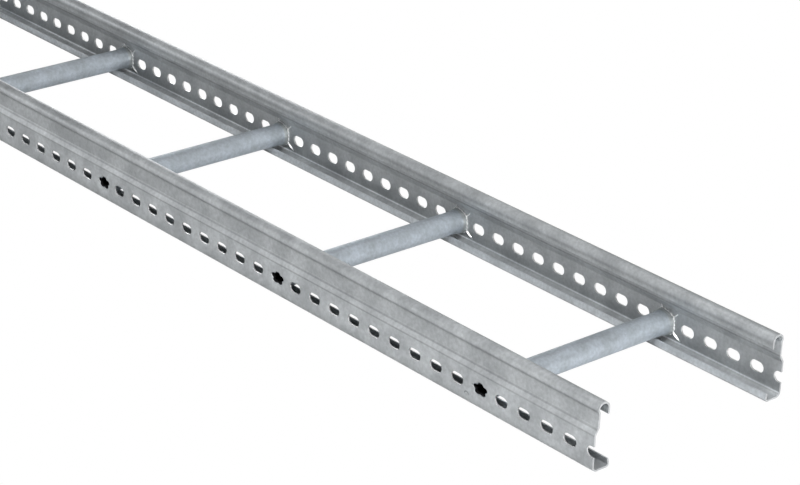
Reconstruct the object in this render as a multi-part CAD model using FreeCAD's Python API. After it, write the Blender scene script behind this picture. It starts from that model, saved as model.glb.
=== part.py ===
"""Galvanised steel cable ladder section: two roll-formed side rails and eight tubular rungs.

X runs along the ladder, Y across it and Z up. The origin is on the floor plane, midway along
and midway across. All lengths are in millimetres.
"""
import os
import math

import FreeCAD
import Part

Vector = FreeCAD.Vector

# Ladder as a whole
ladder_length = 2000.0
ladder_width = 203.0        # over the outer faces of the two lower webs
rail_height = 56.0
sheet = 1.5                 # thickness of the rail's sheet

# Bottom flange of a rail, with its stiffening lip
flange_width = 17.6
flange_bend = 3.0           # inside radius between the web and the flange
lip_height = 6.2
lip_lean = 1.2              # how far the top of the lip leans back towards the web
lip_bend = 1.2

# Joggle that sets the upper web in from the lower one
joggle_start = 30.3
joggle_rise = 5.7
joggle_depth = 3.3
joggle_bend = 2.5

# Rolled top edge, standing slightly proud of the upper web and hooked over inwards
roll_foot = 46.2
roll_foot_rise = 2.8
roll_proud = 0.9
roll_foot_bend = 1.5
roll_width = 11.7
roll_bend = 4.2
roll_drop = 11.2            # from the crown down to the free edge of the hook

# Row of obround slots along the lower web
slot_pitch = 25.0
slot_length = 14.0
slot_height = 9.5
slot_centre = 16.8          # above the floor
flats_per_slot_end = 3      # flats that stand for the round end of a slot away from the mounts
pitches_per_bay = 10        # slot pitches from one rung to the next

# Screw hole through the bottom flange under each rung
foot_hole_diameter = 6.0
foot_hole_inset = 7.8       # from the outer face of the lower web
flats_per_foot_hole = 8     # flats that stand for the round hole between the end rungs

# Rungs
rung_diameter = 20.0
rung_wall = 1.5
collar_diameter = 24.0      # across the corners of the ten-sided collar
collar_thickness = 2.0

# Staked joint: a five-pointed spigot of the rung spread into a star-shaped hole of the web
star_points = 5
star_tip_radius = 6.4
star_valley_radius = 4.7
stake_wall = 1.0            # metal between the open star and the hole in the web
stake_clearance = 0.1

# Slots that take splice plates and brackets: their places from an end, and either side of the middle
end_mount_slots = (1, 2)
middle_mount_slots = (-1, 0)

# Sizes that follow from those above
bay_length = pitches_per_bay * slot_pitch
rung_count = int(ladder_length // bay_length)
half_length = ladder_length / 2
half_width = ladder_width / 2
web_inner = half_width - sheet
cutter_overrun = 5 * sheet


def corner_arc(before, corner, after, radius):
    """Return the start, middle and end of the arc that rounds a corner of a path."""
    back = before - corner
    ahead = after - corner
    half_angle = back.getAngle(ahead) / 2
    room = 0.49 * min(back.Length, ahead.Length)
    setback = min(radius / math.tan(half_angle), room)
    radius = setback * math.tan(half_angle)
    back.normalize()
    ahead.normalize()
    middle_way = back + ahead
    middle_way.normalize()
    middle = corner + middle_way * (radius / math.sin(half_angle) - radius)
    return corner + back * setback, middle, corner + ahead * setback


def rounded_path(points, radii):
    """Return an open wire of straight runs joined by tangent arcs, one radius for each corner."""
    edges = []
    here = points[0]
    for before, corner, after, radius in zip(points, points[1:], points[2:], radii):
        start, middle, end = corner_arc(before, corner, after, radius)
        edges.append(Part.LineSegment(here, start).toShape())
        edges.append(Part.Arc(start, middle, end).toShape())
        here = end
    edges.append(Part.LineSegment(here, points[-1]).toShape())
    return Part.Wire(edges)


def rail_section():
    """Return the rail's section as a face in the YZ plane, with its outer web face at Y = 0.

    The path follows the middle of the sheet, from the lip of the bottom flange round to the
    free edge of the top hook.
    """
    lower_web = sheet / 2
    upper_web = lower_web + joggle_depth
    roll_outer = upper_web - roll_proud
    roll_inner = roll_outer + roll_width - sheet
    lip_foot = flange_width - sheet / 2
    floor_line = sheet / 2
    crown_line = rail_height - sheet / 2
    outline = [
        (lip_foot - lip_lean, lip_height),
        (lip_foot, floor_line),
        (lower_web, floor_line),
        (lower_web, joggle_start),
        (upper_web, joggle_start + joggle_rise),
        (upper_web, roll_foot),
        (roll_outer, roll_foot + roll_foot_rise),
        (roll_outer, crown_line),
        (roll_inner, crown_line),
        (roll_inner, rail_height - roll_drop),
    ]
    inside_radii = [
        lip_bend, flange_bend, joggle_bend, joggle_bend, roll_foot_bend, roll_foot_bend, roll_bend, roll_bend,
    ]
    points = [Vector(0, across, up) for across, up in outline]
    middle_line = rounded_path(points, [radius + sheet / 2 for radius in inside_radii])
    return sheet_face(middle_line)


def sheet_face(middle_line):
    """Return the face of a strip of the sheet's thickness, drawn along its middle line."""
    one_side = middle_line.makeOffset2D(sheet / 2, openResult=True)
    other_side = middle_line.makeOffset2D(-sheet / 2, openResult=True)
    first = Part.LineSegment(one_side.OrderedVertexes[0].Point, other_side.OrderedVertexes[0].Point)
    last = Part.LineSegment(one_side.OrderedVertexes[-1].Point, other_side.OrderedVertexes[-1].Point)
    loop = Part.__sortEdges__(one_side.Edges + other_side.Edges + [first.toShape(), last.toShape()])
    return Part.Face(Part.Wire(loop))


def rung_places():
    """Return where the rungs stand along the ladder."""
    return [(number - (rung_count - 1) / 2) * bay_length for number in range(rung_count)]


def slot_places():
    """Return where the slots stand along the ladder: every pitch, save where a rung is staked."""
    first_rung = rung_places()[0]
    before = int((first_rung + half_length) // slot_pitch)
    after = int((half_length - first_rung) // slot_pitch)
    steps = range(-before, after + 1)
    return [first_rung + step * slot_pitch for step in steps if step % pitches_per_bay]


def mount_places():
    """Return where the slots stand that take splice plates and brackets."""
    ends = [half_length - number * slot_pitch for number in end_mount_slots]
    middle = [number * slot_pitch for number in middle_mount_slots]
    return ends + [-place for place in ends] + middle


def obround(place, flats=None):
    """Return a slot's outline round its place on the web, with true arcs or with flats at its ends."""
    reach = (slot_length - slot_height) / 2
    radius = slot_height / 2
    left = Vector(place - reach, 0, slot_centre)
    right = Vector(place + reach, 0, slot_centre)

    def rim(centre, angle):
        return centre + Vector(radius * math.cos(angle), 0, radius * math.sin(angle))

    quarter = math.pi / 2
    if flats is None:
        return Part.Wire([
            Part.Arc(rim(right, -quarter), rim(right, 0), rim(right, quarter)).toShape(),
            Part.LineSegment(rim(right, quarter), rim(left, quarter)).toShape(),
            Part.Arc(rim(left, quarter), rim(left, math.pi), rim(left, -quarter)).toShape(),
            Part.LineSegment(rim(left, -quarter), rim(right, -quarter)).toShape(),
        ])
    turn = math.pi / flats
    rims = [rim(right, step * turn - quarter) for step in range(flats + 1)]
    rims += [rim(left, step * turn + quarter) for step in range(flats + 1)]
    return Part.makePolygon(rims + rims[:1])


def ring(place, tip_radius, valley_radius):
    """Return an outline round a rung's place whose corners lie on two radii by turns, one straight up."""
    corners = []
    for number in range(2 * star_points):
        radius = valley_radius if number % 2 else tip_radius
        angle = math.pi / 2 + number * math.pi / star_points
        corners.append(Vector(place + radius * math.cos(angle), 0, slot_centre + radius * math.sin(angle)))
    return Part.makePolygon(corners + corners[:1])


def star(place, growth=0.0):
    """Return the star's outline round a rung's place, grown outwards all round."""
    return ring(place, star_tip_radius + growth, star_valley_radius + growth)


def collar(place):
    """Return the outline of the collar that the staking tool leaves round a rung's end."""
    return ring(place, collar_diameter / 2, collar_diameter / 2)


def prism(outline, start, end):
    """Return the solid between two places across the ladder, on an outline drawn at Y = 0."""
    face = Part.Face(outline)
    face.translate(Vector(0, start, 0))
    return face.extrude(Vector(0, end - start, 0))


def foot_hole(place):
    """Return the cutter of the hole through the bottom flange under a rung, truly round at the end rungs."""
    foot = Vector(place, -half_width + foot_hole_inset, -cutter_overrun)
    radius = foot_hole_diameter / 2
    depth = Vector(0, 0, 2 * cutter_overrun)
    if place in (rung_places()[0], rung_places()[-1]):
        return Part.makeCylinder(radius, depth.z, foot)
    turn = 2 * math.pi / flats_per_foot_hole
    rim = [Vector(math.cos(step * turn), math.sin(step * turn), 0) for step in range(flats_per_foot_hole)]
    corners = [foot + spoke * radius for spoke in rim]
    return Part.Face(Part.makePolygon(corners + corners[:1])).extrude(depth)


def is_mount(place):
    """Tell whether the slot at this place takes a splice plate or a bracket."""
    return any(abs(place - mount) < slot_pitch / 2 for mount in mount_places())


def side_rail():
    """Return the rail whose web faces -Y, with its slots and its star-shaped and foot holes."""
    face = rail_section()
    face.translate(Vector(-half_length, -half_width, 0))
    blank = face.extrude(Vector(ladder_length, 0, 0))
    outlines = [obround(place, None if is_mount(place) else flats_per_slot_end) for place in slot_places()]
    outlines += [star(place, stake_wall + stake_clearance) for place in rung_places()]
    outside = -half_width - cutter_overrun
    inside = -web_inner + cutter_overrun
    cutters = [prism(outline, outside, inside) for outline in outlines]
    return blank.cut(cutters + [foot_hole(place) for place in rung_places()])


def rung(place):
    """Return a tubular rung with a collar at each end, staked through both webs."""
    across = Vector(0, 1, 0)
    axis = Vector(place, 0, slot_centre)

    def drum(diameter, start, end):
        return Part.makeCylinder(diameter / 2, end - start, axis + across * start, across)

    tube = drum(rung_diameter, -web_inner, web_inner)
    collar_starts = (-web_inner, web_inner - collar_thickness)
    collars = [prism(collar(place), start, start + collar_thickness) for start in collar_starts]
    spigots = prism(star(place, stake_wall), -half_width, half_width)
    bore_end = web_inner - collar_thickness
    bore = drum(rung_diameter - 2 * rung_wall, -bore_end, bore_end)
    openings = prism(star(place), -half_width - cutter_overrun, half_width + cutter_overrun)
    body = tube.fuse(collars + [spigots])
    return body.cut([bore, openings]).removeSplitter()


def main():
    """Write every piece of the ladder to its own file."""
    os.makedirs("parts", exist_ok=True)
    right = side_rail()
    left = right.mirror(Vector(0, 0, 0), Vector(0, 1, 0))
    pieces = {"side_rail_right": right, "side_rail_left": left}
    for number, place in enumerate(rung_places(), start=1):
        pieces["rung_%02d" % number] = rung(place)
    for name, shape in pieces.items():
        solid = shape.Solids[0] if len(shape.Solids) == 1 else shape
        solid.exportStep("parts/" + name + ".step")
        print(name, "solids", len(shape.Solids), "valid", shape.isValid(), "volume", round(shape.Volume))


main()
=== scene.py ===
"""Looks of a galvanised steel cable ladder section: two slotted side rails and eight staked tubular rungs.

X runs along the ladder, Y across it and Z up. Lengths are in metres; mm turns millimetres into them.
"""
import math

import bmesh
import bpy
from mathutils import Matrix, Vector


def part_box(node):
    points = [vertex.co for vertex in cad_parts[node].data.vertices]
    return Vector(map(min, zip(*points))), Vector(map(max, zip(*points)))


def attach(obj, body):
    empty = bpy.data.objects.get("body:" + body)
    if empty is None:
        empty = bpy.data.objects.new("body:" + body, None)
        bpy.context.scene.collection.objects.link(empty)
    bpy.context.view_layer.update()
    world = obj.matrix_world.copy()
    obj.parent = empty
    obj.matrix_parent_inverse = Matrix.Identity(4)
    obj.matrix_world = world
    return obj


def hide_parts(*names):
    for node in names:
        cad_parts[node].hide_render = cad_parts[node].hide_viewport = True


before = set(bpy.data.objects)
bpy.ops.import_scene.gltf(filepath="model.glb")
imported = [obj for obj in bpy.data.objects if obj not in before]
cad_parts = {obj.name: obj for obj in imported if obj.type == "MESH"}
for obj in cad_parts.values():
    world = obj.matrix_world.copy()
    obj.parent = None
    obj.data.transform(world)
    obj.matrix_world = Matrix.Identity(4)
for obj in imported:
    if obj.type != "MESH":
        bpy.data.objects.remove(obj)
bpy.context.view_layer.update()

mm = 0.001

# Sizes that the frame gives
rail_low, rail_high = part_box("side_rail_right")
half_length = rail_high.x
half_width = -rail_low.y
rail_height = rail_high.z
rung_names = sorted(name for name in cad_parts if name.startswith("rung"))
rung_boxes = [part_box(name) for name in rung_names]
rung_places = [(low.x + high.x) / 2 for low, high in rung_boxes]
slot_centre = (rung_boxes[0][0].z + rung_boxes[0][1].z) / 2
floor_level = rail_low.z

# Sheet of the rails and the sizes of their section
sheet = 1.5 * mm
flange_width = 17.6 * mm
flange_bend = 3.0 * mm
lip_height = 7.1 * mm
lip_lean = 1.2 * mm
lip_bend = 1.2 * mm
lip_zone = 3.0 * mm         # of the flange's width, within which it counts as lip
joggle_start = 30.3 * mm
joggle_rise = 5.7 * mm
joggle_depth = 3.3 * mm
joggle_bend = 1.2 * mm
roll_foot = 47.9 * mm
roll_foot_rise = 2.0 * mm
roll_proud = 0.9 * mm
roll_foot_bend = 0.9 * mm
roll_width = 11.7 * mm
roll_bend = 4.2 * mm
roll_drop = 11.2 * mm
sheared_edge = 0.3 * mm     # rounding of the strip's two long edges
bend_steps = 8              # mesh steps round a bend

# Row of slots, and the part of the web that is meshed around them
slot_pitch = 25 * mm
slot_length = 14 * mm
slot_height = 9.1 * mm
panel_low = 5.0 * mm
panel_high = 29.0 * mm
half_pitch_steps = 2        # mesh steps along half a pitch
panel_side_steps = 4        # mesh steps up the side of a panel
panel_edge_steps = 2 * half_pitch_steps + panel_side_steps
slot_steps = 24             # mesh steps round half a slot
straight_steps = 2          # of those, along half of one straight side
star_steps = 40             # mesh steps round half a star

# Rows of mesh between a hole and its panel's edge, as shares of the way from the hole
slot_blends = (0.5,)
star_blends = (0.85, 0.68, 0.52, 0.38, 0.25, 0.12)

# Rim of a punched slot in millimetres: how far it stands back from the opening, and its depth in the sheet
punched_rim = [(0.12, 0.0), (0.03, 0.05), (0.0, 0.14), (0.0, 1.4), (0.1, 1.5)]

# Rim of the star-shaped hole, pulled in with the spigot
star_rim = [(0.5, 0.0), (0.2, 0.12), (0.0, 0.45), (0.0, 1.4), (0.1, 1.5)]
dished_rim_rows = 3         # rows of it that follow the dish
skin_rim_rows = 3           # rows of either rim that still have the finish of the outer skin

# Staked joint
star_points = 5
star_mean_radius = 5.5 * mm
star_wave = 0.8 * mm
star_lobe_breadth = 0.25    # share of a second wave that broadens the star's lobes
stake_wall = 1.0 * mm
stake_gap = 0.1 * mm
star_stretch = Vector((1.2, 0.8))
star_shift = Vector((0.6, 0.0)) * mm
star_recess = 1.1 * mm      # of the spigot's rim behind the web's outer skin
star_turn = {-1: 0.0, 1: math.radians(21)}  # how far the star is turned on the rail of each side
dish_depth = 0.6 * mm
dish_reach = 11.5 * mm

# Creases that staking leaves on the web's inner skin, from the lobe at the top round to the left
crease_ends = [15.5, 14.5, 15.0, 21.5, 17.5]    # from the rung's middle, in millimetres, as the next two are
crease_heights = [0.7, 0.4, 0.5, 1.3, 0.8]
crease_widths = [1.8, 1.6, 1.6, 2.1, 1.7]
crease_start = 11.4 * mm
crease_onset = 5.0          # how fast it rises: it is at its full height after about a sixth of its length
crease_first_rise = 0.2     # how far along that rise it starts
crease_taper = 0.4          # share of its width that it loses towards its end
crease_sink = 0.3 * mm      # how deep its closed underside lies in the sheet
crease_floor = 2.6 * mm     # lowest place that a crease reaches, where the flange's bend takes it in
least_fall = 0.1            # slope taken for a level or rising crease, which never comes down to that place
crease_steps = 12           # mesh steps along it
crease_rows = (-1.0, -0.6, -0.25, 0.0, 0.25, 0.6, 1.0)  # mesh rows across it, as shares of half its width

# Hole through the bottom flange under each rung, and its rim like that of a slot
foot_hole_radius = 3.0 * mm
foot_hole_inset = 7.8 * mm
foot_hole_steps = 12        # mesh steps round half a hole
foot_hole_rim = [(0.25, 0.0), (0.0, 0.2), (0.0, 1.3), (0.25, 1.5)]

# Rungs
rung_radius = 10.0 * mm
bore_radius = 8.5 * mm
collar_radius = 11.7 * mm
collar_wave = 0.6 * mm
collar_teeth = 20
tooth_height = 0.3 * mm
collar_thickness = 2.0 * mm
bore_narrowing = 0.8 * mm   # length over which the bore narrows to the star
bore_start = 9.0 * mm       # how far back from the web's inner skin the bore's plain middle starts
rung_steps = 120            # mesh steps round a rung

# Profile of a rung's end in millimetres: distance back from the web's inner skin, and growth of the outline
upset_profile = [(16.0, 0.0), (7.0, 0.1), (4.5, 0.6), (2.6, 1.1), (1.6, 1.1)]
collar_profile = [(1.3, -0.6), (1.1, -0.15), (0.8, 0.0), (0.3, 0.0), (0.0, -0.2)]

# Rim of its star-shaped spigot: distance back from the rim in millimetres, and share of the spigot's wall
spigot_profile = [(0.45, 1.0), (0.12, 0.85), (0.0, 0.5), (0.12, 0.15), (0.5, 0.0)]

# Finishes of a rail and of a rung, as places in the list of its materials
finish_skin, finish_cut, finish_worked_highlit, finish_inner, finish_lit_lip = 0, 1, 2, 3, 4
finish_tube, finish_shaded_bore, finish_bead, finish_shaded_upset = 0, 1, 2, 3

# Finish of each band of a rung's end, from the tube's skin out to the star and down its bore
rung_finishes = (
    2 * [finish_tube] + 3 * [finish_shaded_upset] + 4 * [finish_bead] + 4 * [finish_tube] + 5 * [finish_shaded_bore]
)

# Mesh
weld_distance = 0.002 * mm
sharp_angle = math.radians(50)

# Zinc: cloudy patches, fine grain and rolling lines drawn out along the ladder
cloud_scale = 38.0
rung_cloud_scale = 60.0
cloud_range = (0.35, 0.65)
grain_scale = 340.0
grain_range = (0.3, 0.7)
grain_tones = (0.88, 1.10)
grain_depth = 0.25 * mm
line_scale = 620.0
line_draw = 0.12            # scale along the ladder against that across it
line_depth = 0.2 * mm
line_share = 0.6            # of the grain's bump
bore_patch_scale = 160.0          # of the patches inside the tubes

# Unevenness along the ladder of the bands of painted shade and highlight and the dark bend lines
band_patch_scale = 45.0
band_patch_draw = 0.15
band_patch_range = (0.3, 0.6)
band_shares = (0.7, 1.0)    # share of the band's own tone, from the faintest stretch to the strongest
faded_band_tone = 0.92

# Slip mark beside the last rung on the right rail's web: the upper part of a dark ring
slip_middle = (rung_places[-1] - 13.6 * mm, -half_width, slot_centre - 9.4 * mm)
slip_radius = 2.5 * mm
slip_width = 0.7 * mm
slip_fade = (slip_middle[2] - 0.3 * mm, slip_middle[2] + 1.2 * mm)
slip_tone = 0.35

# Tone of the rail's outer and inner skin by height in millimetres. Outside: painted shade in the groove under
# the roll and on the upper web. Inside: a painted highlight along the flange's bend and the roll, and painted
# shade low on the web. Both: dark lines along the joggle's bends, darker towards the bottom, and plain webs
outer_painted_shade_tones = [
    (0.0, 0.82), (4.0, 0.84), (11.0, 0.94), (24.0, 1.0),
    (29.4, 1.0), (29.9, 0.68), (30.6, 0.70), (31.1, 1.0),
    (33.9, 1.0), (34.4, 0.68), (35.2, 0.70), (35.8, 0.91),
    (46.0, 0.90), (47.4, 0.80), (48.3, 0.68), (49.4, 0.70), (50.6, 0.90), (52.5, 0.96), (56.0, 0.96),
]
inner_painted_light_tones = [
    (0.0, 0.82), (2.9, 0.80), (3.3, 1.7), (4.1, 1.7), (4.6, 0.84), (12.0, 0.88), (22.0, 0.94),
    (35.4, 0.94), (36.0, 0.62), (36.8, 0.64), (37.4, 0.90),
    (38.2, 0.94), (38.5, 0.80), (39.1, 0.94),
    (46.0, 1.0), (48.6, 1.4), (50.2, 1.4), (51.4, 1.08), (56.0, 1.08),
]

# Tone of a rung by the distance from its middle: painted shade darkening its ends next to the webs
rung_shade_tones = [(0.0, 0.96), (76.0, 0.96), (88.0, 0.88), (96.0, 0.76), (102.0, 0.74)]

# Colours of the darker and lighter patches of each surface
rail_colours = (0.44, 0.46, 0.475), (0.58, 0.605, 0.62)
# Lighter zinc of the lip's outer side: painted light, a lit copy of the rail's zinc
lit_lip_colours = (0.53, 0.56, 0.585), (0.665, 0.70, 0.73)
rung_colours = (0.46, 0.505, 0.545), (0.54, 0.595, 0.65)
cut_colours = (0.45, 0.465, 0.475), (0.59, 0.605, 0.615)
# Near-white zinc of the creases, hole rims and collar beads: partly the brighter look of tool-worked zinc,
# partly a painted highlight along them
worked_highlit_colours = (0.74, 0.76, 0.76), (0.92, 0.93, 0.93)
# Dark zinc of the upset tube end beside the web: painted shade and a painted reflection of the dark web
shaded_upset_colours = (0.31, 0.335, 0.34), (0.40, 0.43, 0.435)
# Near-black inside of the tubes: painted shade where little light gets in
shaded_bore_colours = (0.004, 0.004, 0.005), (0.016, 0.016, 0.017)

# Camera
camera_place = (2.20276, -1.34798, 0.94982)
camera_forward = (-0.687187, 0.601224, -0.407803)
camera_right = (0.647046, 0.761749, 0.032712)
camera_lens = 120.935
camera_sensor = 36.0

# Floor and room
floor_reach = 14.0
floor_drop = 0.2 * mm       # of the floor under the ladder, which keeps the two surfaces apart
floor_seen = 1.0
floor_tone = 0.6
room_colour = (0.93, 0.97, 1.0)
room_glow = 0.02

# Stands of the softboxes: the place on the ladder that they point at, and their distance from it
far_stand = ((0.35, 0.0, 0.02), 2.6)
near_stand = ((0.8, 0.0, 0.02), 1.6)

# Softboxes: stand, azimuth and elevation in degrees, size in metres and power in watts
softboxes = {
    "key": (near_stand, -40, 58, 0.8, 17.2),
    "far_key": (far_stand, -40, 58, 1.3, 16.6),
    "high_end": (far_stand, -5, 58, 1.3, 13.1),
    "high_far_end": (far_stand, -150, 58, 1.3, 4.2),
    "low_end": (far_stand, -5, 8, 0.7, 34.3),
    "low_side": (near_stand, -110, 8, 0.43, 2.9),
    "low_far_end": (far_stand, -150, 8, 0.7, 10.0),
    "low_back": (near_stand, 150, 8, 0.43, 2.9),
    "back": (near_stand, 150, 32, 0.8, 1.2),
    "high_back": (far_stand, 90, 58, 1.3, 1.7),
}


class Patchwork:
    """Quads and polygons gathered patch by patch, and welded into one mesh at the end."""

    def __init__(self):
        self.points = []
        self.faces = []
        self.finishes = []

    def row(self, points):
        """Add a row of points and return their numbers."""
        first = len(self.points)
        self.points.extend(points)
        return list(range(first, len(self.points)))

    def face(self, corners, finish):
        """Add one face."""
        self.faces.append(corners)
        self.finishes.append(finish)

    def span(self, near, far, finish, closed=False, gaps=()):
        """Fill between two rows, save for the gaps; the first has as many steps as the second or a multiple.

        The finish is one for all steps, or a list with one for each.
        """
        far_steps = len(far) if closed else len(far) - 1
        near_steps = len(near) if closed else len(near) - 1
        ratio = near_steps // far_steps
        for step in range(far_steps):
            if step in gaps:
                continue
            here = far[step]
            there = far[(step + 1) % len(far)]
            runs = [near[(step * ratio + run) % len(near)] for run in range(ratio + 1)]
            look = finish[step] if isinstance(finish, list) else finish
            if ratio == 1:
                self.face([runs[0], runs[1], there, here], look)
                continue
            middle = ratio // 2
            for run in range(ratio):
                self.face([runs[run], runs[run + 1], here if run < middle else there], look)
            self.face([runs[middle], there, here], look)

    def mesh(self, name, materials):
        """Return the welded mesh as an object, with its faces turned outwards and shaded smoothly."""
        data = bpy.data.meshes.new(name)
        data.from_pydata([tuple(point) for point in self.points], [], self.faces)
        for material in materials:
            data.materials.append(material)
        for polygon, finish in zip(data.polygons, self.finishes):
            polygon.material_index = finish
        work = bmesh.new()
        work.from_mesh(data)
        bmesh.ops.remove_doubles(work, verts=work.verts, dist=weld_distance)
        bmesh.ops.recalc_face_normals(work, faces=work.faces)
        for face in work.faces:
            face.smooth = True
        work.to_mesh(data)
        work.free()
        data.set_sharp_from_angle(angle=sharp_angle)
        piece = bpy.data.objects.new(name, data)
        bpy.context.scene.collection.objects.link(piece)
        weighted = piece.modifiers.new("Weighted normals", "WEIGHTED_NORMAL")
        weighted.keep_sharp = True
        return piece


def rounded_line(corners, radii):
    """Return points along a line with rounded corners, each with the direction of the outer side."""
    stations = []

    def add(point, along):
        stations.append((point, Vector((-along.y, along.x))))

    add(corners[0], (corners[1] - corners[0]).normalized())
    for before, corner, after, radius in zip(corners, corners[1:], corners[2:], radii):
        back = (before - corner).normalized()
        ahead = (after - corner).normalized()
        turn = math.pi - back.angle(ahead)
        setback = radius * math.tan(turn / 2)
        sense = 1 if back.x * ahead.y - back.y * ahead.x < 0 else -1
        start = corner + back * setback
        centre = start + Matrix.Rotation(sense * math.pi / 2, 2) @ (-back) * radius
        for step in range(bend_steps + 1):
            swing = Matrix.Rotation(sense * turn * step / bend_steps, 2)
            add(centre + swing @ (start - centre), swing @ (-back))
    add(corners[-1], (corners[-1] - corners[-2]).normalized())
    return stations


def section_line():
    """Return the middle line of the rail's sheet, from the lip up to the free edge of the hook."""
    lower_web = sheet / 2
    upper_web = lower_web + joggle_depth
    roll_outer = upper_web - roll_proud
    roll_inner = roll_outer + roll_width - sheet
    lip_foot = flange_width - sheet / 2
    crown = rail_height - sheet / 2
    corners = [
        (lip_foot - lip_lean, lip_height),
        (lip_foot, sheet / 2),
        (lower_web, sheet / 2),
        (lower_web, joggle_start),
        (upper_web, joggle_start + joggle_rise),
        (upper_web, roll_foot),
        (roll_outer, roll_foot + roll_foot_rise),
        (roll_outer, crown),
        (roll_inner, crown),
        (roll_inner, rail_height - roll_drop),
    ]
    inside = [
        lip_bend, flange_bend, joggle_bend, joggle_bend, roll_foot_bend, roll_foot_bend, roll_bend, roll_bend,
    ]
    return rounded_line([Vector(corner) for corner in corners], [radius + sheet / 2 for radius in inside])


def rail_strips():
    """Return the parts of the section under and over the panels, each from the panel to its free edge."""
    stations = section_line()
    outward = Vector((-1, 0))
    under = 1 + 2 * (bend_steps + 1)    # stations of the lip's edge, of its bend and of the flange's bend
    foot = [(Vector((sheet / 2, panel_low)), outward), *reversed(stations[:under])]
    head = [(Vector((sheet / 2, panel_high)), outward), *stations[under:]]
    return foot, head


def sheared_tip(point, outward, along):
    """Return the slightly rounded cut edge of the sheet, from its outer skin to its inner one."""
    half = sheet / 2
    return [
        point + outward * half - along * sheared_edge,
        point + outward * (half - sheared_edge),
        point - outward * (half - sheared_edge),
        point - outward * half - along * sheared_edge,
    ]


def skin_profile(strip):
    """Return the outline from the panel's outer skin round the free edge and back to its inner skin."""
    half = sheet / 2
    tip, tip_outward = strip[-1]
    along = (tip - strip[-2][0]).normalized()
    outer = [point + outward * half for point, outward in strip[:-1]]
    inner = [point - outward * half for point, outward in reversed(strip[:-1])]
    return outer + sheared_tip(tip, tip_outward, along) + inner


def along_places():
    """Return the mesh's steps along the rail."""
    count = round(2 * half_length / slot_pitch) * 2 * half_pitch_steps
    return [-half_length + 2 * half_length * step / count for step in range(count + 1)]


def slot_outline(side, share, offset):
    """Return a place on half a slot's outline, from its top round its left (-1) or right (1) end."""
    radius = slot_height / 2
    reach = (slot_length - slot_height) / 2
    straight = straight_steps / slot_steps
    if share <= straight:
        across, up = reach * share / straight, radius + offset
    elif share >= 1 - straight:
        across, up = reach * (1 - share) / straight, -radius - offset
    else:
        angle = math.pi * (share - straight) / (1 - 2 * straight)
        across, up = reach + (radius + offset) * math.sin(angle), (radius + offset) * math.cos(angle)
    return Vector((side * across, up))


def star_spot(angle, offset, turn):
    """Return a place on the open star's outline, grown by an offset, in one direction from its middle."""
    swing = star_points * (angle - math.pi / 2 - turn)
    wave = math.cos(swing) - star_lobe_breadth * math.cos(2 * swing)
    radius = star_mean_radius + star_wave * wave + offset
    return star_shift + radius * Vector((math.cos(angle) * star_stretch.x, math.sin(angle) * star_stretch.y))


def star_outline(side, share, offset, turn):
    """Return a place on half a star's outline, from its top round its left (-1) or right (1) side."""
    return star_spot(math.pi / 2 - side * math.pi * share, offset, turn)


def panel_edge(side, share):
    """Return a place on half a panel's edge, from its top middle round the corner to its bottom middle."""
    across = side * slot_pitch / 2
    top = panel_high - slot_centre
    bottom = panel_low - slot_centre
    place = share * panel_edge_steps
    if place <= half_pitch_steps:
        return Vector((across * place / half_pitch_steps, top))
    if place >= panel_edge_steps - half_pitch_steps:
        return Vector((across * (panel_edge_steps - place) / half_pitch_steps, bottom))
    up = (place - half_pitch_steps) / panel_side_steps
    return Vector((across, top + (bottom - top) * up))


def smooth_share(value):
    """Return an eased share of 0 to 1."""
    value = min(max(value, 0.0), 1.0)
    return value * value * (3 - 2 * value)


def outer_dent(place):
    """Return how far the outer skin is pressed in near a star."""
    hole_reach = star_mean_radius + stake_wall
    return dish_depth * smooth_share((dish_reach - place.length) / (dish_reach - hole_reach))


def crease(patches, side, centre, angle, end, height, width):
    """Add a tapering crease that runs outwards from a rung on the web's inner skin."""
    along = Vector((math.cos(angle), math.sin(angle)))
    across = Vector((-along.y, along.x))
    rows = []
    for step in range(crease_steps + 1):
        share = step / crease_steps
        rise = height * smooth_share(share * crease_onset + crease_first_rise) * (1 - share ** 3)
        half = width / 2 * (1 - crease_taper * share)
        middle = along * (crease_start + (end - crease_start) * share)
        line = []
        for place in crease_rows:
            lift = rise * (0.5 + 0.5 * math.cos(math.pi * place))
            line.append((middle + across * half * place, lift))
        line += [(middle + across * half, -crease_sink), (middle - across * half, -crease_sink)]
        rows.append(patches.row([
            Vector((centre + spot.x, side * (half_width - sheet - lift), slot_centre + spot.y))
            for spot, lift in line
        ]))
    for near, far in zip(rows, rows[1:]):
        patches.span(near, far, finish_worked_highlit, closed=True)
    for row in (rows[0], rows[-1]):
        patches.face(row, finish_worked_highlit)


def staking_creases(patches, side, centre):
    """Add the creases that run outwards from one rung's lobes."""
    for lobe, (end, height, width) in enumerate(zip(crease_ends, crease_heights, crease_widths)):
        angle = math.pi / 2 + star_turn[side] + lobe * 2 * math.pi / star_points
        fall = max(-math.sin(angle), least_fall)
        end = min(end * mm, (slot_centre - crease_floor) / fall)
        crease(patches, side, centre, angle, end, height * mm, width * mm)


def hole_row(side, half, is_star, offset):
    """Return the places along half of a hole's outline, from its top, grown by an offset in millimetres."""
    if is_star:
        growth = stake_wall + stake_gap + offset * mm
        shares = [step / star_steps for step in range(star_steps + 1)]
        return [star_outline(half, share, growth, star_turn[side]) for share in shares]
    shares = [step / slot_steps for step in range(slot_steps + 1)]
    return [slot_outline(half, share, offset * mm) for share in shares]


def edge_row(half, steps):
    """Return the places along half of a panel's edge, from its top."""
    return [panel_edge(half, step / steps) for step in range(steps + 1)]


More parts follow.
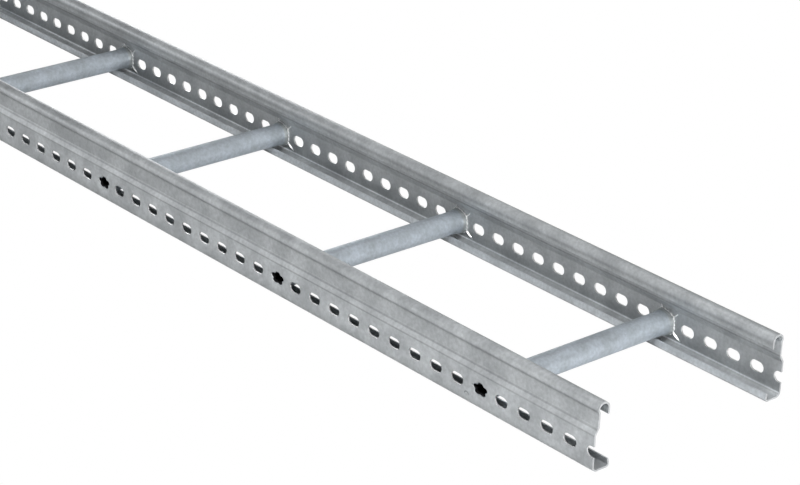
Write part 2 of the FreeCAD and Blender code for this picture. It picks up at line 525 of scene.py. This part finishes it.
def panel_rows(side, half, is_star):
    """Return the rows of half a panel, from its edge on the outer skin through the hole to that on the inner.

    Each row is its places round the panel's middle, each with its depth under the plain outer skin.
    """
    rim, blends = (star_rim, star_blends) if is_star else (punched_rim, slot_blends)
    outer_hole = hole_row(side, half, is_star, rim[0][0])
    inner_hole = hole_row(side, half, is_star, rim[-1][0])
    edge = edge_row(half, len(outer_hole) - 1)
    rows = [[(place, 0.0) for place in edge_row(half, panel_edge_steps)]]
    for blend in blends:
        places = [near.lerp(far, blend) for near, far in zip(outer_hole, edge)]
        rows.append([(place, outer_dent(place) if is_star else 0.0) for place in places])
    for number, (offset, depth) in enumerate(rim):
        is_dished = is_star and number < dished_rim_rows
        dent_share = 1 - depth * mm / sheet if is_dished else 0.0
        places = hole_row(side, half, is_star, offset)
        rows.append([(place, depth * mm + outer_dent(place) * dent_share) for place in places])
    for blend in reversed(blends):
        rows.append([(near.lerp(far, blend), sheet) for near, far in zip(inner_hole, edge)])
    rows.append([(place, sheet) for place in edge_row(half, panel_edge_steps)])
    return rows


def web_panel(patches, side, centre, halves, is_star):
    """Add one pitch of the web, or half of one, with its slot or star-shaped hole."""
    rim, blends = (star_rim, star_blends) if is_star else (punched_rim, slot_blends)
    finishes = (len(blends) + skin_rim_rows - 1) * [finish_skin]
    finishes += (len(rim) - skin_rim_rows) * [finish_worked_highlit]
    finishes += len(blends) * [finish_inner]
    for half in halves:
        rows = []
        for line in panel_rows(side, half, is_star):
            rows.append(patches.row([
                Vector((centre + place.x, side * (half_width - depth), slot_centre + place.y))
                for place, depth in line
            ]))
        patches.span(rows[1], rows[0], finish_skin)
        for near, far, finish in zip(rows[1:-2], rows[2:-1], finishes):
            patches.span(near, far, finish)
        patches.span(rows[-2], rows[-1], finish_inner)
        if len(halves) == 1:
            for end in (0, -1):
                patches.face([row[end] for row in rows], finish_cut)


def foot_panel(patches, side, centre, near, far):
    """Add the square of the bottom flange that has a rung's hole, between two distances from the web."""
    step_length = slot_pitch / 2 / half_pitch_steps

    def spot(along, inwards, up):
        return Vector((centre + along, side * (half_width - inwards), up))

    for half in (-1, 1):
        corners = [(0, near), (half * step_length, near), (half * step_length, far), (0, far)]
        rows = [patches.row([spot(along, inwards, 0.0) for along, inwards in corners])]
        for offset, depth in foot_hole_rim:
            radius = foot_hole_radius + offset * mm
            angles = [math.pi * step / foot_hole_steps for step in range(foot_hole_steps + 1)]
            rows.append(patches.row([
                spot(half * radius * math.sin(angle), foot_hole_inset - radius * math.cos(angle), depth * mm)
                for angle in angles
            ]))
        rows.append(patches.row([spot(along, inwards, sheet) for along, inwards in corners]))
        patches.span(rows[1], rows[0], finish_skin)
        for wall_near, wall_far in zip(rows[1:-2], rows[2:-1]):
            patches.span(wall_near, wall_far, finish_cut)
        patches.span(rows[-2], rows[-1], finish_inner)


def strip_finishes(strip, profile, is_foot):
    """Return the finish of each step along a strip's outline."""
    finishes = []
    for number, spot in enumerate(profile[:-1]):
        is_outer = number < len(strip) + 1
        if is_foot and spot.x > flange_width - lip_zone and spot.y > sheet:
            finishes.append(finish_lit_lip if is_outer else finish_skin)
        else:
            finishes.append(finish_skin if is_outer else finish_inner)
    return finishes


def sweep_strip(patches, side, strip, flat_start=None):
    """Add a strip of the rail from end to end, with gaps for the foot panels where its flat is given."""
    profile = skin_profile(strip)
    last = len(profile) - 1
    finishes = strip_finishes(strip, profile, flat_start is not None)
    holed = () if flat_start is None else (flat_start, last - 1 - flat_start)
    places = along_places()
    rows = []
    for place in places:
        rows.append(patches.row([Vector((place, side * (half_width - spot.x), spot.y)) for spot in profile]))
    step_length = slot_pitch / 2 / half_pitch_steps
    for place, near, far in zip(places, rows, rows[1:]):
        middle = place + step_length / 2
        by_hole = any(abs(middle - rung_place) < step_length for rung_place in rung_places)
        patches.span(near, far, finishes, gaps=holed if by_hole else ())
    for row in (rows[0], rows[-1]):
        for number in range(last // 2):
            other = last - number
            patches.face([row[number], row[number + 1], row[other - 1], row[other]], finish_cut)


def side_rail(name, side, materials):
    """Return the rail of one side of the ladder: its panels, and the swept strips under and over them."""
    patches = Patchwork()
    for number in range(round(2 * half_length / slot_pitch) + 1):
        centre = -half_length + number * slot_pitch
        is_star = any(abs(centre - place) < slot_pitch / 2 for place in rung_places)
        halves = [half for half in (-1, 1) if abs(centre + half * slot_pitch / 2) < half_length]
        web_panel(patches, side, centre, halves, is_star)
        if is_star:
            staking_creases(patches, side, centre)
    foot, head = rail_strips()
    flat_start = 1 + bend_steps         # after the panel's edge and the flange's bend
    sweep_strip(patches, side, foot, flat_start)
    sweep_strip(patches, side, head)
    for place in rung_places:
        foot_panel(patches, side, place, foot[flat_start][0].x, foot[flat_start + 1][0].x)
    rail = patches.mesh(name, materials)
    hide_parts("side_rail_right" if side < 0 else "side_rail_left")
    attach(rail, "root")
    return rail


def rung_loops(side):
    """Return the loops at one end of a rung, from the tube's skin out to the star and back down its bore.

    Each loop is its distance from the ladder's middle, and a function that gives its place in each direction.
    """
    web_inner = half_width - sheet
    spigot_rim = half_width - star_recess
    bore_floor = web_inner - collar_thickness
    turn = star_turn[side]

    def round_line(radius):
        return lambda angle: Vector((radius * math.cos(angle), radius * math.sin(angle)))

    def scallop(growth):
        def shape(angle):
            swing = angle - math.pi / 2 - turn
            lobes = collar_wave * math.cos(star_points * swing)
            teeth = tooth_height * math.cos(collar_teeth * swing)
            radius = collar_radius + growth + lobes + teeth
            return Vector((radius * math.cos(angle), radius * math.sin(angle)))
        return shape

    def star_line(growth):
        return lambda angle: star_spot(angle, growth, turn)

    loops = [(web_inner - back * mm, round_line(rung_radius + growth * mm)) for back, growth in upset_profile]
    loops += [(web_inner - back * mm, scallop(growth * mm)) for back, growth in collar_profile]
    loops.append((web_inner, star_line(stake_wall)))
    loops += [(spigot_rim - back * mm, star_line(share * stake_wall)) for back, share in spigot_profile]
    loops.append((bore_floor, star_line(0.0)))
    loops.append((bore_floor - bore_narrowing, round_line(bore_radius)))
    loops.append((web_inner - bore_start, round_line(bore_radius)))
    return loops


def rung(name, place, materials):
    """Return one rung: a tube whose scalloped collars and open star spigots close it at each web."""
    patches = Patchwork()
    loops = [(-1, *loop) for loop in reversed(rung_loops(-1))] + [(1, *loop) for loop in rung_loops(1)]
    rows = []
    for side, reach, shape in loops:
        line = []
        for step in range(rung_steps):
            spot = shape(math.pi / 2 + 2 * math.pi * step / rung_steps)
            line.append(Vector((place + spot.x, side * reach, slot_centre + spot.y)))
        rows.append(patches.row(line))
    finishes = rung_finishes[::-1] + [finish_tube] + rung_finishes
    for near, far, finish in zip(rows, rows[1:], finishes):
        patches.span(near, far, finish, closed=True)
    patches.span(rows[-1], rows[0], finish_shaded_bore, closed=True)
    piece = patches.mesh(name + "_tube", materials)
    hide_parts(name)
    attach(piece, "root")
    return piece


def node(tree, kind, **values):
    """Add a shader node, set the named properties and inputs, and return it."""
    made = tree.nodes.new(kind)
    for key, value in values.items():
        if hasattr(made, key):
            setattr(made, key, value)
        else:
            made.inputs[key].default_value = value
    return made


def noise(tree, where, **values):
    """Return a noise over the places given."""
    made = node(tree, "ShaderNodeTexNoise", **values)
    tree.links.new(where, made.inputs["Vector"])
    return made.outputs["Fac"]


def drawn_out(tree, where, draw):
    """Return the places with their lengths along the ladder scaled, which draws a pattern out along it."""
    made = node(tree, "ShaderNodeMapping", Scale=(draw, 1.0, 1.0))
    tree.links.new(where, made.inputs["Vector"])
    return made.outputs["Vector"]


def remapped(tree, value, low_high, new_low_high=(0.0, 1.0)):
    """Return a value moved from one range to another, and held inside it."""
    made = node(tree, "ShaderNodeMapRange")
    made.inputs["From Min"].default_value, made.inputs["From Max"].default_value = low_high
    made.inputs["To Min"].default_value, made.inputs["To Max"].default_value = new_low_high
    tree.links.new(value, made.inputs["Value"])
    return made.outputs["Result"]


def figured(tree, operation, value, other=None):
    """Return the outcome of an operation on a value, and on another value or a plain number."""
    made = node(tree, "ShaderNodeMath", operation=operation)
    tree.links.new(value, made.inputs[0])
    if isinstance(other, float):
        made.inputs[1].default_value = other
    elif other is not None:
        tree.links.new(other, made.inputs[1])
    return made.outputs["Value"]


def part_of(tree, where, axis):
    """Return the places along one axis."""
    made = node(tree, "ShaderNodeSeparateXYZ")
    tree.links.new(where, made.inputs["Vector"])
    return made.outputs[axis]


def blended(tree, share, tone, other):
    """Return the blend of a plain tone and another tone."""
    made = node(tree, "ShaderNodeMix", data_type="FLOAT")
    made.inputs["A"].default_value = tone
    tree.links.new(share, made.inputs["Factor"])
    tree.links.new(other, made.inputs["B"])
    return made.outputs["Result"]


def patched(tree, share, colours):
    """Return the blend of a darker and a lighter colour."""
    made = node(tree, "ShaderNodeMix", data_type="RGBA")
    for key, colour in zip("AB", colours):
        made.inputs[key].default_value = (*colour, 1.0)
    tree.links.new(share, made.inputs["Factor"])
    return made.outputs["Result"]


def shade_and_highlight_tone(tree, where, axis, reach, tones):
    """Return a tone by the place along an axis: bands of painted shade and highlight and dark bend lines,
    uneven along the ladder.

    The tones are pairs of a distance from the middle in millimetres and the tone that it has.
    """
    bands = node(tree, "ShaderNodeValToRGB")
    stops = bands.color_ramp.elements
    while len(stops) < len(tones):
        stops.new(1.0)
    for stop, (distance, tone) in zip(stops, tones):
        stop.position = distance * mm / reach
        stop.color = (tone, tone, tone, 1.0)
    away = figured(tree, "ABSOLUTE", part_of(tree, where, axis))
    tree.links.new(remapped(tree, away, (0.0, reach)), bands.inputs["Fac"])
    patchiness = noise(tree, drawn_out(tree, where, band_patch_draw), Scale=band_patch_scale, Detail=2.0)
    return blended(tree, remapped(tree, patchiness, band_patch_range, band_shares), faded_band_tone, bands.outputs["Color"])


def slipped_tone(tree, where, tone):
    """Return the tone with the dark arc of the slip mark."""
    away = node(tree, "ShaderNodeVectorMath", operation="DISTANCE")
    away.inputs[1].default_value = slip_middle
    tree.links.new(where, away.inputs[0])
    off_arc = figured(tree, "ABSOLUTE", figured(tree, "SUBTRACT", away.outputs["Value"], slip_radius))
    arc = remapped(tree, off_arc, (0.0, slip_width), (slip_tone, 1.0))
    upper = remapped(tree, part_of(tree, where, "Z"), slip_fade)
    return figured(tree, "MULTIPLY", tone, blended(tree, upper, 1.0, arc))


def zinc(name, colours, roughness, metallic, bump, tones=None, patch_scale=cloud_scale):
    """Return a weathered zinc coating: soft cloudy patches, rolling lines, fine grain and, given tones, bands
    of painted shade and highlight.

    The colours are those of its darker and lighter patches, and the roughness is a low and a high one.
    """
    material = bpy.data.materials.new(name)
    material.use_nodes = True
    tree = material.node_tree
    shader = tree.nodes["Principled BSDF"]
    link = tree.links.new
    where = node(tree, "ShaderNodeTexCoord").outputs["Object"]
    clouds = noise(tree, where, Scale=patch_scale, Detail=3.0, Roughness=0.55)
    grain = noise(tree, where, Scale=grain_scale, Detail=2.0, Roughness=0.6)
    lines = noise(tree, drawn_out(tree, where, line_draw), Scale=line_scale, Detail=2.0, Roughness=0.5)

    tone = remapped(tree, grain, grain_range, grain_tones)
    if tones:
        tone = figured(tree, "MULTIPLY", tone, slipped_tone(tree, where, shade_and_highlight_tone(tree, where, *tones)))
    toned = node(tree, "ShaderNodeVectorMath", operation="SCALE")
    link(patched(tree, remapped(tree, clouds, cloud_range), colours), toned.inputs[0])
    link(tone, toned.inputs["Scale"])
    link(toned.outputs["Vector"], shader.inputs["Base Color"])

    link(remapped(tree, clouds, (0.0, 1.0), roughness), shader.inputs["Roughness"])
    shader.inputs["Metallic"].default_value = metallic

    grained = node(tree, "ShaderNodeBump", Strength=bump, Distance=grain_depth)
    rolled = node(tree, "ShaderNodeBump", Strength=bump * line_share, Distance=line_depth)
    link(grain, grained.inputs["Height"])
    link(lines, rolled.inputs["Height"])
    link(grained.outputs["Normal"], rolled.inputs["Normal"])
    link(rolled.outputs["Normal"], shader.inputs["Normal"])
    return material


def shaded_bore():
    """Return the near-black inside of the tubes: painted shade where little light gets in."""
    material = bpy.data.materials.new("shaded_bore")
    material.use_nodes = True
    tree = material.node_tree
    shader = tree.nodes["Principled BSDF"]
    where = node(tree, "ShaderNodeTexCoord").outputs["Object"]
    bore_patches = noise(tree, where, Scale=bore_patch_scale, Detail=3.0)
    tree.links.new(patched(tree, bore_patches, shaded_bore_colours), shader.inputs["Base Color"])
    shader.inputs["Metallic"].default_value = 0.2
    shader.inputs["Roughness"].default_value = 0.8
    shader.inputs["Specular IOR Level"].default_value = 0.2
    return material


def show_or_light(tree, output, seen, lit):
    """Show the camera one shader, and let the other one meet all other light."""
    ray = node(tree, "ShaderNodeLightPath")
    either = node(tree, "ShaderNodeMixShader")
    out = node(tree, output)
    tree.links.new(ray.outputs["Is Camera Ray"], either.inputs["Fac"])
    tree.links.new(lit.outputs[0], either.inputs[1])
    tree.links.new(seen.outputs[0], either.inputs[2])
    tree.links.new(either.outputs["Shader"], out.inputs["Surface"])


def white_room():
    """Make the pale floor and the room, which the camera sees white and which light the object softly."""
    ground = bpy.data.meshes.new("floor")
    corners = [(-1, -1), (1, -1), (1, 1), (-1, 1)]
    level = floor_level - floor_drop
    ground.from_pydata([(x * floor_reach, y * floor_reach, level) for x, y in corners], [], [(0, 1, 2, 3)])
    floor = bpy.data.objects.new("floor", ground)
    bpy.context.scene.collection.objects.link(floor)
    paper = bpy.data.materials.new("white_paper")
    paper.use_nodes = True
    tree = paper.node_tree
    tree.nodes.clear()
    seen = node(tree, "ShaderNodeEmission", Color=(1, 1, 1, 1), Strength=floor_seen)
    lit = node(tree, "ShaderNodeBsdfDiffuse", Color=(floor_tone, floor_tone, floor_tone, 1))
    show_or_light(tree, "ShaderNodeOutputMaterial", seen, lit)
    ground.materials.append(paper)

    world = bpy.data.worlds.new("room")
    bpy.context.scene.world = world
    world.use_nodes = True
    tree = world.node_tree
    tree.nodes.clear()
    seen = node(tree, "ShaderNodeBackground", Color=(1, 1, 1, 1), Strength=floor_seen)
    glow = node(tree, "ShaderNodeBackground", Color=(*room_colour, 1), Strength=room_glow)
    show_or_light(tree, "ShaderNodeOutputWorld", seen, glow)


def softbox(name, stand, azimuth, elevation, size, power):
    """Add a square softbox that shines at a place on the ladder from one direction."""
    aim, distance = stand
    lamp = bpy.data.lights.new(name, "AREA")
    lamp.shape = "SQUARE"
    lamp.size = size
    lamp.energy = power
    box = bpy.data.objects.new(name, lamp)
    turn = math.radians(azimuth)
    tilt = math.radians(elevation)
    level = math.cos(tilt)
    away = Vector((math.cos(turn) * level, math.sin(turn) * level, math.sin(tilt)))
    box.location = Vector(aim) + away * distance
    box.rotation_euler = (-away).to_track_quat("-Z", "Y").to_euler()
    box.visible_camera = False
    bpy.context.scene.collection.objects.link(box)


def photo_camera():
    """Add the camera, which looks down on the end of the ladder from its right."""
    lens = bpy.data.cameras.new("camera")
    lens.sensor_width = camera_sensor
    lens.lens = camera_lens
    camera = bpy.data.objects.new("camera", lens)
    forward = Vector(camera_forward).normalized()
    right = Vector(camera_right).normalized()
    up = right.cross(forward)
    turned = Matrix((right, up, -forward)).transposed()
    camera.matrix_world = Matrix.Translation(Vector(camera_place)) @ turned.to_4x4()
    bpy.context.scene.collection.objects.link(camera)
    bpy.context.scene.camera = camera


bpy.context.scene.view_settings.view_transform = "Standard"

photo_camera()
white_room()
for softbox_name, softbox_values in softboxes.items():
    softbox(softbox_name, *softbox_values)

rail_look = {"colours": rail_colours, "roughness": (0.48, 0.60), "metallic": 0.7, "bump": 0.11}
rung_look = {"colours": rung_colours, "roughness": (0.46, 0.58), "metallic": 0.8, "bump": 0.08}
# The rail's outer and inner zinc share their colours and differ only by their bands of painted shade and
# highlight
rail_zinc = zinc("rail_zinc", **rail_look, tones=("Z", rail_height, outer_painted_shade_tones))
inner_zinc = zinc("inner_zinc", **rail_look, tones=("Z", rail_height, inner_painted_light_tones))
# The rung's zinc carries painted shade towards its ends
rung_zinc = zinc("rung_zinc", **rung_look, tones=("Y", half_width, rung_shade_tones), patch_scale=rung_cloud_scale)
lit_lip_zinc = zinc("lit_lip_zinc", lit_lip_colours, roughness=(0.46, 0.58), metallic=0.7, bump=0.10)
cut_zinc = zinc("cut_zinc", cut_colours, roughness=(0.42, 0.54), metallic=0.6, bump=0.05)
worked_highlit_zinc = zinc("worked_highlit_zinc", worked_highlit_colours, roughness=(0.30, 0.42), metallic=0.7, bump=0.05)
shaded_upset_zinc = zinc("shaded_upset_zinc", shaded_upset_colours, roughness=(0.46, 0.58), metallic=0.7, bump=0.10)

rail_materials = [rail_zinc, cut_zinc, worked_highlit_zinc, inner_zinc, lit_lip_zinc]
# The collar bead takes the worked zinc with its painted highlight
rung_materials = [rung_zinc, shaded_bore(), worked_highlit_zinc, shaded_upset_zinc]
side_rail("rail_right_sheet", -1, rail_materials)
side_rail("rail_left_sheet", 1, rail_materials)
for rung_name, rung_place in zip(rung_names, rung_places):
    rung(rung_name, rung_place, rung_materials)
